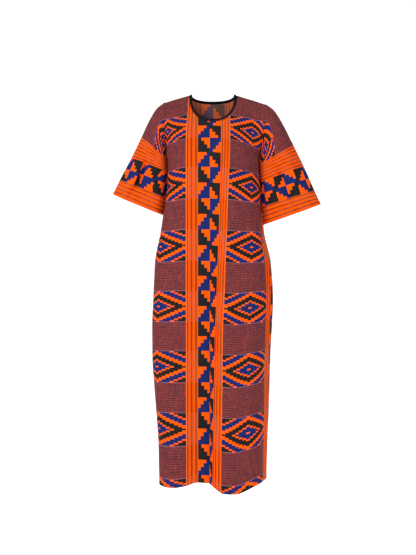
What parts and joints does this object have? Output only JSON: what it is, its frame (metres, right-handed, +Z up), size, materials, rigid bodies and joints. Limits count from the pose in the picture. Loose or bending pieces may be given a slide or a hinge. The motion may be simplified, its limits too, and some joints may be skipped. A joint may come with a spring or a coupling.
{
  "type": "dress",
  "caption": "Full-length print cotton dress with a bound round neck and wide elbow sleeves, held as worn with empty hollows",
  "frame": {"origin": "between the shoulders, level with the neck ends of the shoulder seams, where the wearer's shoulders hold the dress", "axes": "+X towards the wearer's left, -Y the front, +Z up"},
  "size_m": [0.717, 0.2844, 1.3568],
  "materials": {
    "print_cloth": "plain-woven cotton, printed in orange, blue, black and reddish brown",
    "binding_cloth": "black cotton"
  },
  "bodies": {
    "root": {"front": "print_cloth", "back": "print_cloth", "sleeve_right": "print_cloth", "sleeve_left": "print_cloth", "neck_binding": "binding_cloth"}
  },
  "joints": []
}
